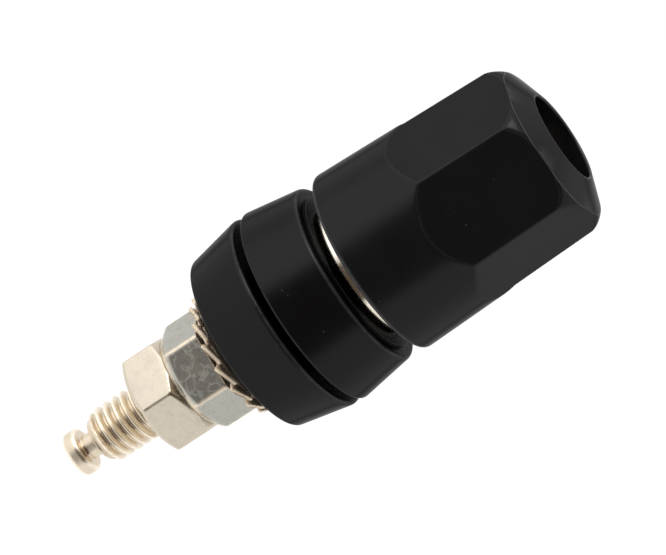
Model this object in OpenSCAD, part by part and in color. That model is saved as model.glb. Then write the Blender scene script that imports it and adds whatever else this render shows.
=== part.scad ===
// Panel binding post with a 4 mm plug socket.
// The post stands on +Z with its mouth up. Z = 0 is the panel plane under the front insulator.

/* [Knob] */
// Diameter at the lower edge
knob_d = 13.6; // [12.4:0.1:16]
// Length from the lower edge to the mouth
knob_len = 15.6; // [14:0.1:19]
// Draft of the side and the flats, in degrees
knob_draft = 2; // [0.5:0.1:3]
// Rounding of the lower edge
knob_edge_r = 0.4; // [0.1:0.05:0.6]
// Length of the hexagonal part, from the mouth to the run-outs
hex_len = 8.5; // [6:0.1:9]
// Slope of a flat's run-out from the axis, in degrees
runout_angle = 35; // [25:1:50]
// Diameter of the edge around the bevelled end
bevel_d = 11.1; // [10:0.1:12]
// Rise of the bevel from that edge to the mouth
bevel_h = 0.9; // [0.4:0.05:2]
// Height of the rounded shoulder below that edge
shoulder_h = 1.15; // [0.6:0.05:2]
// Radius of the shoulder's section
shoulder_r = 2.4; // [1.5:0.1:4]
// Depth of the mouth above the end of the stud
mouth_depth = 2.5; // [1.5:0.1:4]

/* [Knob insert] */
// Diameter of the threaded bush in the knob
insert_d = 8.8; // [8.2:0.1:9.2]
// Length of the bush above the pressure washer
insert_len = 7.4; // [6:0.1:9]
// Width of the groove that locks the bush in the moulding
lock_groove_w = 1.4; // [0.8:0.1:2.5]
// Depth of that groove
lock_groove_depth = 0.4; // [0.2:0.05:0.6]
// Wall of the neck that passes through the pressure washer
neck_wall = 0.45; // [0.35:0.05:0.6]
// Reach of the flared lip past the neck
lip_reach = 0.4; // [0.2:0.05:0.6]
// Thickness of the flared lip
lip_h = 0.3; // [0.2:0.05:0.4]

/* [Pressure washer] */
// Diameter of the washer that clamps the wire
washer_d = 9.7; // [9.2:0.1:11]
// Thickness of that washer
washer_h = 0.9; // [0.7:0.05:1.4]
// Edge chamfer of that washer
washer_chamfer = 0.12; // [0.05:0.01:0.25]

/* [Front insulator] */
// Diameter of both insulators at the panel
insulator_d = 14.7; // [13.4:0.1:17]
// Height of the raised land in the middle
front_h = 4.4; // [3.6:0.1:6]
// Taper of the side, in degrees
front_taper = 9; // [4:0.2:12]
// Drop from the land to the rim
rim_drop = 0.2; // [0.1:0.05:0.4]
// Width of the rim outside the land
rim_w = 0.8; // [0.4:0.05:1.2]
// Rounding of the rim's outer edge
front_edge_r = 0.4; // [0.1:0.05:0.7]
// Rounding of the edge at the panel
front_foot_r = 0.2; // [0.05:0.05:0.5]
// Diameter of the spigot that fits the panel hole
spigot_d = 8; // [6.4:0.1:10]
// Length of that spigot
spigot_len = 2; // [1.2:0.1:3]

/* [Rear insulator] */
// Height behind the panel
rear_h = 4.15; // [3.4:0.05:6]
// Taper of the side, in degrees
rear_taper = 11; // [4:0.2:14]
// Rounding of both outer edges
rear_edge_r = 0.3; // [0.1:0.05:0.6]
// Groove left for the panel
panel_gap = 0.6; // [0.4:0.05:1]
// Diameter of the raised seat under the lock washer
seat_d = 8.4; // [7.4:0.1:9]
// Height of that seat
seat_h = 0.7; // [0.4:0.05:1.2]

/* [Stud] */
// Major diameter of the thread under the knob
post_d = 6; // [5.8:0.1:6.2]
// Lead chamfer at the mouth end of the stud
post_chamfer = 0.35; // [0.1:0.05:0.6]
// Diameter of the plug socket
socket_d = 4; // [3.8:0.05:4.2]
// Depth of the plug socket
socket_depth = 10; // [7:0.1:10.2]
// Lead-in chamfer of the plug socket
socket_lead = 0.3; // [0.1:0.05:0.6]
// Point angle of the drilled floor, in degrees
drill_point = 118; // [90:1:140]
// Diameter of the cross hole for a wire
wire_d = 2; // [1.6:0.1:2.2]
// Metal left between the collar and the cross hole
wire_rise = 1.2; // [0.8:0.1:1.5]
// Diameter of the collar
collar_d = 8.2; // [7.4:0.1:8.8]
// Distance across the collar's two flats
collar_flats = 7.2; // [6.6:0.1:7.4]
// Thickness of the collar
collar_h = 1.9; // [1.4:0.1:2.2]
// Rise of the collar above the insulator's land
collar_proud = 0.1; // [0.05:0.05:0.2]
// Major diameter of the tail's thread
tail_d = 4; // [3.8:0.05:4.2]
// Length of thread that stands out behind the outer nut
tail_free = 4.65; // [3.5:0.05:8]
// Length of the tapered start of the thread
tail_lead = 0.8; // [0.4:0.05:1]
// Depth of that start
tail_lead_depth = 0.5; // [0.2:0.05:0.8]
// Diameter of the neck before the head
tail_neck_d = 1.8; // [1.4:0.05:2]
// Length of the neck
tail_neck_len = 1.05; // [0.5:0.05:1.5]
// Diameter of the solder head
head_d = 3.25; // [2.8:0.05:3.4]
// Length of the solder head
head_len = 1.05; // [0.9:0.05:2]
// Rounding of the solder head's edges
head_edge_r = 0.3; // [0.1:0.05:0.4]

/* [Nuts] */
// Distance across the flats
nut_af = 7; // [6.6:0.1:8]
// Height of a nut
nut_h = 3.1; // [2.2:0.05:3.4]
// Angle of the chamfer on a crowned end, in degrees
nut_crown = 30; // [15:1:35]
// Step from the flats in to the edge of the crowned face
nut_face_step = 0.07; // [0.02:0.01:0.3]
// Countersink at both ends of a nut's thread
nut_sink = 0.3; // [0.1:0.05:0.5]
// Turn of the inner nut about the axis, in degrees
inner_nut_turn = 18; // [0:1:59]
// Turn of the outer nut about the axis, in degrees
outer_nut_turn = 53; // [0:1:59]

/* [Lock washer] */
// Number of twisted teeth
teeth = 16; // [10:1:18]
// Diameter over the teeth
lock_d = 9.1; // [8.8:0.1:10]
// Diameter of the ring that carries the teeth
lock_ring_d = 7.8; // [7:0.1:8.4]
// Sheet thickness
lock_t = 0.4; // [0.3:0.05:0.6]
// Width of a tooth
tooth_w = 1.5; // [1:0.05:1.6]
// Twist of a tooth at its tip, in degrees
tooth_twist = 29; // [22:1:45]
// Turn of the lock washer about the axis, in degrees
lock_turn = 7; // [0:1:35]

/* [Clearances] */
// Radial play of the threads under the knob
thread_play = 0.05; // [0.02:0.01:0.1]
// Radial play of a nut on the tail
nut_play = 0.03; // [0.02:0.01:0.1]
// Radial play of the stud in the mouth of the knob
mouth_play = 0.13; // [0.1:0.01:0.3]
// Play of the insulators and the lock washer on the stud, and of the spigot and collar in their seats
seat_play = 0.1; // [0.05:0.01:0.2]
// Play of the bush in the moulding
mould_play = 0.02; // [0.01:0.01:0.05]
// Play of the pressure washer on the bush
swivel_play = 0.05; // [0.03:0.01:0.1]
// Running gap between the moulding and the pressure washer
knob_gap = 0.05; // [0.03:0.01:0.15]

/* [Hidden] */
$fn = 96;
arc_steps = 6;
tooth_slices = 6;
tooth_sides = 4;
hex_sides = 6;
over = 1;

black = "#1b1b1c";
nickel = "#cfc8b8";
steel = "#c9bda6";

// Heights above the panel, from the front insulator up to the mouth
collar_top = front_h + collar_proud;
collar_seat = collar_top - collar_h;
washer_top = collar_top + washer_h;
knob_low = washer_top + knob_gap;
mouth_z = knob_low + knob_len;
post_end = mouth_z - mouth_depth;
socket_floor = post_end - socket_depth;
wire_z = collar_top + wire_rise + wire_d / 2;

// Heights below the panel, from the rear insulator down to the solder head
rear_front = -panel_gap;
rear_back = rear_front - rear_h;
seat_back = rear_back - seat_h;
lock_h = tooth_w * sin(tooth_twist) + lock_t * cos(tooth_twist);
lock_back = seat_back - lock_h;
inner_back = lock_back - nut_h;
outer_back = inner_back - nut_h;
thread_end = outer_back - tail_free;
head_front = thread_end - tail_neck_len;
head_back = head_front - head_len;

// Radii that several pieces share
post_r = post_d / 2;
tail_r = tail_d / 2;
bush_bore_r = post_r + thread_play;
bush_r = insert_d / 2;
neck_r = bush_bore_r + neck_wall;
lip_r = neck_r + lip_reach;
spigot_r = spigot_d / 2;
flat_ratio = cos(180 / hex_sides);
crown_r = nut_af / 2 - nut_face_step;

// Middle of the groove that locks the bush in the moulding
groove_mid = washer_top + insert_len / 2;

function unit(v) = v / norm(v);
function turned(v, a) = [v.x * cos(a) - v.y * sin(a), v.x * sin(a) + v.y * cos(a)];

// Arc of radius r that rounds the corner b between its neighbours a and c
function corner_arc(a, b, c, r) =
    let (u = unit(a - b), w = unit(c - b), half = acos(u * w) / 2)
    let (centre = b + unit(u + w) * r / sin(half), start = b + u * r / tan(half) - centre)
    let (finish = b + w * r / tan(half) - centre, way = sign(cross(start, finish)))
    [for (i = [0:arc_steps]) centre + turned(start, way * (180 - 2 * half) * i / arc_steps)];

// Outline whose corners are [x, y, r], each rounded by its own r
function rounded(corners) =
    let (n = len(corners), p = [for (q = corners) [q.x, q.y]])
    [for (i = [0:n - 1])
        each corners[i].z > 0
            ? corner_arc(p[(i + n - 1) % n], p[i], p[(i + 1) % n], corners[i].z)
            : [p[i]]];

// Solid of revolution of a rounded outline of [radius, height, rounding] corners
module turned_solid(corners) {
    rotate_extrude()
        polygon(rounded(corners));
}

// Plain cylinder between two heights
module rod(r, low, high) {
    translate([0, 0, low])
        cylinder(r = r, h = high - low);
}

// Cone between two heights
module cone(low_r, high_r, low, high) {
    translate([0, 0, low])
        cylinder(r1 = low_r, r2 = high_r, h = high - low);
}

// Square-edged ring of width w around a middle height
module band(inner_r, outer_r, mid, w) {
    difference() {
        rod(outer_r, mid - w / 2, mid + w / 2);
        rod(inner_r, mid - w / 2 - over, mid + w / 2 + over);
    }
}

// Collar outline, or its seat when grow is the play around it
module collar_outline(grow, low, high) {
    intersection() {
        rod(collar_d / 2 + grow, low, high);
        translate([0, 0, (low + high) / 2])
            cube([collar_d + 2 * over, collar_flats + 2 * grow, high - low], center = true);
    }
}

// One turned piece: plug socket, cross hole, collar, shank, tail and solder head
module stud() {
    socket_r = socket_d / 2;
    tip_h = socket_r / tan(drill_point / 2);
    color(nickel)
        difference() {
            union() {
                rod(post_r, collar_top, post_end - post_chamfer);
                cone(post_r, post_r - post_chamfer, post_end - post_chamfer, post_end);
                collar_outline(0, collar_seat, collar_top);
                rod(tail_r, thread_end + tail_lead, collar_seat);
                cone(tail_r - tail_lead_depth, tail_r, thread_end, thread_end + tail_lead);
                rod(tail_neck_d / 2, head_front - head_edge_r, thread_end);
                turned_solid([
                    [0, head_back, 0],
                    [head_d / 2, head_back, head_edge_r],
                    [head_d / 2, head_front, head_edge_r],
                    [0, head_front, 0]
                ]);
            }
            rod(socket_r, socket_floor + tip_h, post_end + over);
            cone(0, socket_r, socket_floor, socket_floor + tip_h);
            cone(socket_r, socket_r + socket_lead + over, post_end - socket_lead, post_end + over);
            translate([0, 0, wire_z])
                rotate([0, 90, 0])
                    cylinder(d = wire_d, h = post_d + 2 * over, center = true);
        }
}

// Tapered ring above the panel, with a raised land, a seat for the collar and a spigot
module front_insulator() {
    rim_h = front_h - rim_drop;
    rim_r = insulator_d / 2 - rim_h * tan(front_taper);
    color(black)
        difference() {
            union() {
                turned_solid([
                    [0, 0, 0],
                    [insulator_d / 2, 0, front_foot_r],
                    [rim_r, rim_h, front_edge_r],
                    [0, rim_h, 0]
                ]);
                rod(rim_r - rim_w, 0, front_h);
                rod(spigot_r, -spigot_len, 0);
            }
            collar_outline(seat_play, collar_seat, front_h + over);
            rod(tail_r + seat_play, -spigot_len - over, collar_seat + over);
        }
}

// Tapered ring behind the panel, with a recess for the spigot and a raised seat for the lock washer
module rear_insulator() {
    color(black)
        difference() {
            union() {
                turned_solid([
                    [0, rear_back, 0],
                    [insulator_d / 2 - rear_h * tan(rear_taper), rear_back, rear_edge_r],
                    [insulator_d / 2, rear_front, rear_edge_r],
                    [0, rear_front, 0]
                ]);
                rod(seat_d / 2, seat_back, rear_back);
            }
            rod(spigot_r + seat_play, -spigot_len, rear_front + over);
            rod(tail_r + seat_play, seat_back - over, rear_front);
        }
}

// Strip of sheet along +X that twists about its own middle line
module twisted_tooth(len) {
    rotate([90, 0, 90])
        linear_extrude(len, twist = tooth_twist, slices = tooth_slices, $fn = tooth_sides)
            square([tooth_w, lock_t], center = true);
}

// Sheet ring with teeth that twist out of its plane
module lock_washer() {
    ring_r = lock_ring_d / 2;
    root = lock_t;
    color(steel)
        translate([0, 0, (seat_back + lock_back) / 2])
            difference() {
                union() {
                    cylinder(r = ring_r, h = lock_t, center = true);
                    for (i = [0:teeth - 1])
                        rotate(lock_turn + i * 360 / teeth)
                            translate([ring_r - root, 0, 0])
                                twisted_tooth(lock_d / 2 - ring_r + root);
                }
                cylinder(r = tail_r + seat_play, h = lock_h + 2 * over, center = true);
            }
}

// Cone that crowns the upper end of a nut standing on Z = 0
module crown_cone() {
    cone(crown_r + nut_h / tan(nut_crown), crown_r, 0, nut_h);
}

// Hexagon blank of a nut, standing on Z = 0 with its crowned end up
module nut_blank() {
    intersection() {
        cylinder(r = nut_af / 2 / flat_ratio, h = nut_h, $fn = hex_sides);
        crown_cone();
    }
}

// Bore of a nut, with a countersink at both ends
module nut_bore() {
    bore_r = tail_r + nut_play;
    rod(bore_r, -over, nut_h + over);
    cone(bore_r + nut_sink, bore_r, 0, nut_sink);
    cone(bore_r, bore_r + nut_sink, nut_h - nut_sink, nut_h);
}

// Panel nut, flat on the lock washer and crowned towards the outer nut
module inner_nut() {
    color(nickel)
        translate([0, 0, lock_back])
            mirror([0, 0, 1])
                rotate(inner_nut_turn)
                    difference() {
                        nut_blank();
                        nut_bore();
                    }
}

// Terminal nut, crowned at both ends
module outer_nut() {
    color(nickel)
        translate([0, 0, outer_back])
            rotate(outer_nut_turn)
                difference() {
                    intersection() {
                        nut_blank();
                        translate([0, 0, nut_h])
                            mirror([0, 0, 1])
                                crown_cone();
                    }
                    nut_bore();
                }
}

// Flat ring that presses on the wire; the bush turns in it and lifts it by its lip
module pressure_washer() {
    color(nickel)
        difference() {
            turned_solid([
                [0, collar_top, 0],
                [washer_d / 2 - washer_chamfer, collar_top, 0],
                [washer_d / 2, collar_top + washer_chamfer, 0],
                [washer_d / 2, washer_top - washer_chamfer, 0],
                [washer_d / 2 - washer_chamfer, washer_top, 0],
                [0, washer_top, 0]
            ]);
            rod(neck_r + swivel_play, collar_top - over, washer_top + over);
            rod(lip_r + swivel_play, collar_top - over, collar_top + lip_h + 2 * swivel_play);
        }
}

// Threaded bush: a grooved body in the moulding, a neck through the washer and a flared lip
module knob_insert() {
    color(nickel)
        difference() {
            union() {
                rod(bush_r, washer_top, washer_top + insert_len);
                rod(neck_r, collar_top + swivel_play, washer_top + over);
                rod(lip_r, collar_top + swivel_play, collar_top + swivel_play + lip_h);
            }
            band(bush_r - lock_groove_depth, bush_r + over, groove_mid, lock_groove_w);
            rod(bush_bore_r, collar_top - over, washer_top + insert_len + over);
        }
}

// Radius of the knob's drafted cone at a height
function knob_r(z) = knob_d / 2 - (z - knob_low) * tan(knob_draft);

// Cone of the knob with its lower edge rounded
module knob_cone() {
    turned_solid([
        [0, knob_low, 0],
        [knob_r(knob_low), knob_low, knob_edge_r],
        [knob_r(mouth_z), mouth_z, 0],
        [0, mouth_z, 0]
    ]);
}

// Everything under the knob's end: a bevel from the mouth to its edge, then a rounded shoulder
module under_end() {
    edge = [bevel_d / 2, mouth_z - bevel_h];
    rim = [post_r + mouth_play, mouth_z];
    foot = [knob_r(edge.y - shoulder_h), edge.y - shoulder_h];
    chord = edge - foot;
    away = [chord.y, -chord.x] / norm(chord);
    centre = (foot + edge) / 2 - away * sqrt(pow(shoulder_r, 2) - pow(norm(chord) / 2, 2));
    slope = (edge.y - rim.y) / (edge.x - rim.x);
    low_z = knob_low - over;
    rotate_extrude()
        intersection() {
            union() {
                translate(centre)
                    circle(r = shoulder_r);
                translate([0, low_z])
                    square([knob_d, centre.y - low_z]);
                translate([0, low_z])
                    square([centre.x, mouth_z + 2 * over - low_z]);
            }
            polygon([
                [0, low_z],
                [knob_d, low_z],
                [knob_d, rim.y + (knob_d - rim.x) * slope],
                [0, rim.y - rim.x * slope]
            ]);
        }
}

// Cutter for one flat: a drafted plane above, a slanted run-out below
module flat_cutter() {
    top_z = mouth_z + over;
    low_z = mouth_z - hex_len;
    low_r = knob_r(low_z) * flat_ratio;
    reach = knob_d;
    far_r = low_r + reach * tan(runout_angle);
    rotate([90, 0, 0])
        linear_extrude(height = 2 * knob_d, center = true)
            polygon([
                [knob_r(top_z) * flat_ratio, top_z],
                [low_r, low_z],
                [far_r, low_z - reach],
                [far_r, top_z]
            ]);
}

// Moulded clamp knob: round below, hexagonal above, bevelled at the mouth
module knob() {
    cavity_r = bush_r + mould_play;
    cavity_top = washer_top + insert_len + mould_play;
    ridge_w = lock_groove_w - 2 * mould_play;
    color(black)
        difference() {
            intersection() {
                knob_cone();
                under_end();
            }
            for (i = [0:hex_sides - 1])
                rotate(i * 360 / hex_sides)
                    flat_cutter();
            difference() {
                rod(cavity_r, knob_low - over, cavity_top);
                band(cavity_r - lock_groove_depth, cavity_r + over, groove_mid, ridge_w);
            }
            rod(post_r + mouth_play, cavity_top - over, mouth_z + over);
        }
}

stud();
front_insulator();
rear_insulator();
lock_washer();
inner_nut();
outer_nut();
pressure_washer();
knob_insert();
knob();
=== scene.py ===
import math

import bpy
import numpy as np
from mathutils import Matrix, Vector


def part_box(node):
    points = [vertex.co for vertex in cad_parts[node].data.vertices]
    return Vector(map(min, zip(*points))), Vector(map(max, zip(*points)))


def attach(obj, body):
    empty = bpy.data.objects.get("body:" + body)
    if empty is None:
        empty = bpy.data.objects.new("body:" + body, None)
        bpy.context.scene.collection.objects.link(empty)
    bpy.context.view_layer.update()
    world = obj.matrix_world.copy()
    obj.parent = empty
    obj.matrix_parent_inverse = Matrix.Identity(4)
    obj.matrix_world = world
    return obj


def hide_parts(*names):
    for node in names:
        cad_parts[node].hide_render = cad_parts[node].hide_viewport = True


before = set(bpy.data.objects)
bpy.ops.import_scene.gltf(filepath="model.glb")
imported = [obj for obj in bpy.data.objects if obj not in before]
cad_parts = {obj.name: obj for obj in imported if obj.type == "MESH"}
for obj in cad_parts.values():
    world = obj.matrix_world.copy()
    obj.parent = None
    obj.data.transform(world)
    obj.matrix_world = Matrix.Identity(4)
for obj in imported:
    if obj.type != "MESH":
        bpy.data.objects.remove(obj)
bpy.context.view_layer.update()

# Looks of a panel binding post: black mouldings round a nickel-plated stud, with nuts and washers.
# A piece is a grid of points: rows follow the outline of its section, columns go round the post's axis.
# Lengths are in metres.

MM = 0.001


def low(node):
    """Height of a node's lowest point."""
    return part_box(node)[0].z


def high(node):
    """Height of a node's highest point."""
    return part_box(node)[1].z


# Heights along the axis, from the frame
MOUTH = high("knob")
KNOB_LOW = low("knob")
WASHER_TOP = high("pressure_washer")
COLLAR_TOP = low("pressure_washer")
LAND = high("front_insulator")
SPIGOT_END = low("front_insulator")
REAR_FRONT = high("rear_insulator")
SEAT_BACK = low("rear_insulator")
INSERT_TOP = high("knob_insert")
INSERT_LOW = low("knob_insert")
POST_END = high("stud")
HEAD_BACK = low("stud")
LOCK_MID = (low("lock_washer") + high("lock_washer")) / 2

# Knob
KNOB_R = 6.8 * MM
KNOB_DRAFT = math.radians(2)
KNOB_EDGE = 0.4 * MM
HEX_LEN = 8.5 * MM
RUNOUT = math.radians(35)
HEX_FILLET_SHARE = 0.025
BEVEL_R = 5.55 * MM
BEVEL_H = 0.9 * MM
BEVEL_EDGE = 0.4 * MM
SHOULDER_H = 1.15 * MM
SHOULDER_R = 2.4 * MM
SHOULDER_STEPS = 6
MOUTH_R = 3.13 * MM
RIM_EDGE = 0.18 * MM
CAVITY_R = 4.42 * MM
CAVITY_PLAY = 0.02 * MM
RIDGE_W = 1.36 * MM
RIDGE_DEPTH = 0.4 * MM
KNOB_BLEND = 0.1 * MM
BEVEL_BLEND = 0.35 * MM
RUB_HIGHLIGHT_W = 0.15 * MM
BEVEL_RUB_HIGHLIGHT = 0.75
FLAT_RUB_HIGHLIGHT = 0.5

# Threaded bush in the knob
INSERT_R = 4.4 * MM
INSERT_BORE = 3.05 * MM
NECK_R = 3.5 * MM
LIP_R = 3.9 * MM
LIP_H = 0.3 * MM
GROOVE_W = 1.4 * MM

# Pressure washer
WASHER_R = 4.85 * MM
WASHER_EDGE = 0.1 * MM
WASHER_FOOT = 0.24 * MM
SWIVEL_PLAY = 0.05 * MM

# Insulators
INSULATOR_R = 7.35 * MM
FRONT_TAPER = math.radians(9)
RIM_DROP = 0.2 * MM
RIM_W = 0.8 * MM
LAND_EDGE = RIM_DROP / 3
FRONT_EDGE = 0.4 * MM
FOOT_EDGE = 0.2 * MM
SPIGOT_R = 4.0 * MM
REAR_TAPER = math.radians(11)
REAR_H = 4.15 * MM
REAR_EDGE = 0.3 * MM
SEAT_R = 4.2 * MM
SEAT_PLAY = 0.1 * MM

# Stud
POST_R = 3.0 * MM
POST_CHAMFER = 0.35 * MM
POST_PITCH = 0.75 * MM
COLLAR_R = 4.1 * MM
COLLAR_FLAT = 3.6 * MM
COLLAR_H = 1.9 * MM
COLLAR_EDGE = 0.06 * MM
RELIEF = 0.5 * MM
SOCKET_R = 2.0 * MM
SOCKET_DEPTH = 10 * MM
SOCKET_LEAD = 0.3 * MM
DRILL_POINT = math.radians(118)
WIRE_R = 1.0 * MM
WIRE_RISE = 1.2 * MM
DRILL_REACH = 1.3 * COLLAR_R
DRILLED_EDGE = math.radians(55)
TAIL_R = 2.0 * MM
TAIL_PITCH = 0.7 * MM
TAIL_LEAD = 0.8 * MM
TAIL_LEAD_DEPTH = 0.5 * MM
NECK_TAIL_R = 0.9 * MM
NECK_LEN = 1.05 * MM
NECK_EDGE = 0.12 * MM
HEAD_R = 1.625 * MM
HEAD_LEN = 1.05 * MM
HEAD_EDGE = 0.3 * MM
HEAD_SHEEN = 0.1
CREST_SHEEN_FLANK = 0.3 * MM

# Thread form, as shares of the pitch
THREAD_DEPTH = 0.613
CREST = 1 / 8
ROOT = 1 / 6
FLANK_ROUND = 0.4

# Nuts
NUT_APOTHEM = 3.5 * MM
NUT_BORE = 2.03 * MM
NUT_SINK = 0.3 * MM
NUT_FACE_STEP = 0.07 * MM
NUT_CROWN = math.radians(30)
NUT_EDGE = 0.07 * MM
INNER_FILLET = 0.4 * MM
INNER_ROLL = 0.7 * MM
OUTER_FILLET = 0.24 * MM
OUTER_ROLL = 0.25 * MM
INNER_TURN = math.radians(18)
OUTER_TURN = math.radians(53)

# Lock washer
TEETH = 16
LOCK_R = 4.55 * MM
LOCK_RING_R = 3.9 * MM
LOCK_BORE = 2.1 * MM
LOCK_T = 0.4 * MM
TOOTH_W = 1.75 * MM
TOOTH_T = 0.28 * MM
TOOTH_TWIST = math.radians(17)
TOOTH_EDGE = 0.12 * MM
LOCK_TURN = math.radians(7)
TOOTH_POWER = 6
TWIST_START = 0.3
TWIST_LEN = 0.6
TIP_SHEEN_START = 0.8
TIP_SHEEN_LEN = 0.15
TOOTH_SHEEN_LEAST = 0.2

# Shared by the pieces
HALF_SIDE = math.pi / 6
EDGE_FINE = 0.03 * MM
CREASE = 0.03 * MM
SIDE_SHARE = 0.45
CREASE_SHARE = 1.05 * SIDE_SHARE
TINY = 1e-9

# Fineness of the meshes: columns round a piece or along a hexagon's side, rows, and strips' widths
KNOB_SIDE_COLUMNS = 46
NUT_SIDE_COLUMNS = 24
BUSH_COLUMNS = 72
RING_COLUMNS = 128
INSULATOR_COLUMNS = 160
STUD_COLUMNS = 96
DRILL_COLUMNS = 48
LOCK_COLUMNS = 96
TOOTH_COLUMNS = 32
TOOTH_ROWS = 14
NUT_ROWS = 34
KNOB_STEP = 0.1 * MM
BEVEL_STEP = 0.05 * MM
THREAD_ROWS = 16


# Surfaces

def round_columns(count):
    """Equal angles once round the axis."""
    return np.arange(count) * (2 * math.pi / count)


def hex_columns(per_side, crowd=0.75):
    """Angles once round a hexagon, from flat to flat, that crowd together at its corners.

    Along one side u runs from -1 to 1, and the angle from the flat's normal is
    30 degrees times u (1 + crowd / 2) - u^3 crowd / 2.
    """
    u = np.linspace(-1, 1, per_side, endpoint=False)
    side = HALF_SIDE * (u * (1 + crowd / 2) - u**3 * crowd / 2)
    return (np.arange(6)[:, None] * 2 * HALF_SIDE + side).ravel()


def hexagon(angles, apothem, fillet):
    """Distance from the axis to a hexagon with rounded corners, and how far each angle is into a corner.

    On a flat the distance is apothem / cos(a), where a is the angle from the nearest flat's normal.
    In a corner it is the far side of a circle of radius fillet whose centre lies on the corner's line.
    """
    a = np.abs((angles + HALF_SIDE) % (2 * HALF_SIDE) - HALF_SIDE)
    centre = (apothem - fillet) / math.cos(HALF_SIDE)
    off = HALF_SIDE - a
    circle = centre * np.cos(off) + np.sqrt(np.maximum(fillet**2 - (centre * np.sin(off)) ** 2, 0))
    touch = math.atan2(centre * math.sin(HALF_SIDE), apothem)
    into = np.clip((a - touch) / (HALF_SIDE - touch), 0, 1)
    return np.where(a > touch, circle, apothem / np.cos(a)), into


def two_flats(angles, radius, half_width):
    """Distance from the axis to a circle cut by two flats that face +Y and -Y."""
    return np.minimum(radius, half_width / np.maximum(np.abs(np.sin(angles)), TINY))


def soft_min(a, b, width):
    """The lesser of two values, rounded where they differ by less than width, and how near they are."""
    near = np.clip(1 - np.abs(a - b) / width, 0, 1)
    return np.minimum(a, b) - near**2 * width / 4, near


def section(corners, columns, closed=True, steps=6):
    """Rows of (r, z, edge) along an outline whose corners are rounded.

    A corner is (r, z, rounding), where r and z may change from column to column. It becomes a quadratic
    Bezier curve between the points that lie `reach` before and after it; reach is the rounding over the
    tangent of half the corner's angle, and at most SIDE_SHARE of the shorter side. A row CREASE beyond
    each end of the curve keeps the flats beside it flat in the shading. A rounding of None is a plain point
    of a curve. The outline runs with the solid on its left, and edge rises to 1 on convex corners.
    """
    points = np.array([[np.broadcast_to(c[0], columns), np.broadcast_to(c[1], columns)] for c in corners])
    to_last = np.roll(points, 1, axis=0) - points
    to_next = np.roll(points, -1, axis=0) - points
    last_len = np.maximum(np.linalg.norm(to_last, axis=1), TINY)
    next_len = np.maximum(np.linalg.norm(to_next, axis=1), TINY)
    to_last = to_last / last_len[:, None]
    to_next = to_next / next_len[:, None]
    cosine = (to_last * to_next).sum(axis=1)
    half_tan = np.sqrt(np.maximum(1 - cosine, TINY) / np.maximum(1 + cosine, TINY))
    convex = to_last[:, 1] * to_next[:, 0] - to_last[:, 0] * to_next[:, 1] > 0
    shorter = np.minimum(last_len, next_len)
    t = np.linspace(0, 1, steps + 1)[:, None, None]
    rows = []
    for k, corner in enumerate(corners):
        pole = not closed and k in (0, len(corners) - 1)
        if corner[2] is None or pole:
            rows.append(np.concatenate([points[k], np.zeros((1, columns))])[None])
            continue
        reach = np.minimum(corner[2] / half_tan[k], SIDE_SHARE * shorter[k])
        hold = np.minimum(reach + CREASE, CREASE_SHARE * shorter[k])
        start = points[k] + to_last[k] * reach
        end = points[k] + to_next[k] * reach
        curve = (1 - t) ** 2 * start + 2 * t * (1 - t) * points[k] + t**2 * end
        worn_and_highlit = np.sin(math.pi * t) * convex[k]
        flat = np.zeros((1, columns))
        rows.append(np.concatenate([points[k] + to_last[k] * hold, flat])[None])
        rows.append(np.concatenate([curve, np.broadcast_to(worn_and_highlit, (steps + 1, 1, columns))], axis=1))
        rows.append(np.concatenate([points[k] + to_next[k] * hold, flat])[None])
    return np.concatenate(rows)


def refine(rows, step, chosen, closed=True):
    """Splits each strip between two chosen rows into equal strips no wider than step.

    The step is one width, or a width for each row.
    """
    after = np.roll(rows, -1, axis=0)
    width = np.linalg.norm((after - rows)[:, :2], axis=1).max(axis=1)
    split = chosen & np.roll(chosen, -1)
    count = np.where(split, np.ceil(width / step), 1).astype(int)
    if not closed:
        count[-1] = 1
    first = np.repeat(np.cumsum(count) - count, count)
    index = np.repeat(np.arange(len(rows)), count)
    part = ((np.arange(count.sum()) - first) / count[index])[:, None, None]
    return rows[index] * (1 - part) + after[index] * part


def thread(z, angles, major, pitch):
    """Radius of a right-hand thread at height z and at each angle.

    The phase is z / pitch less the share of a turn. A straight flank joins the crest to the root, and a
    share FLANK_ROUND of a cosine rounds both. The depth is THREAD_DEPTH of the pitch.
    """
    phase = (z / pitch - angles / (2 * math.pi)) % 1
    from_root = np.abs(2 * phase - 1)
    height = np.clip((from_root - ROOT) / (1 - ROOT - CREST), 0, 1)
    height = (1 - FLANK_ROUND) * height + FLANK_ROUND * (1 - np.cos(math.pi * height)) / 2
    return major - THREAD_DEPTH * pitch * (1 - height)


def add_mesh(name, points, faces, edge):
    """A smooth mesh object from an array of points and lists of faces, with the attribute edge."""
    mesh = bpy.data.meshes.new(name)
    mesh.from_pydata(points.reshape(-1, 3), [], faces)
    mesh.attributes.new("edge", "FLOAT", "POINT").data.foreach_set("value", edge.ravel())
    mesh.shade_smooth()
    piece = bpy.data.objects.new(name, mesh)
    bpy.context.scene.collection.objects.link(piece)
    return piece


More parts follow.
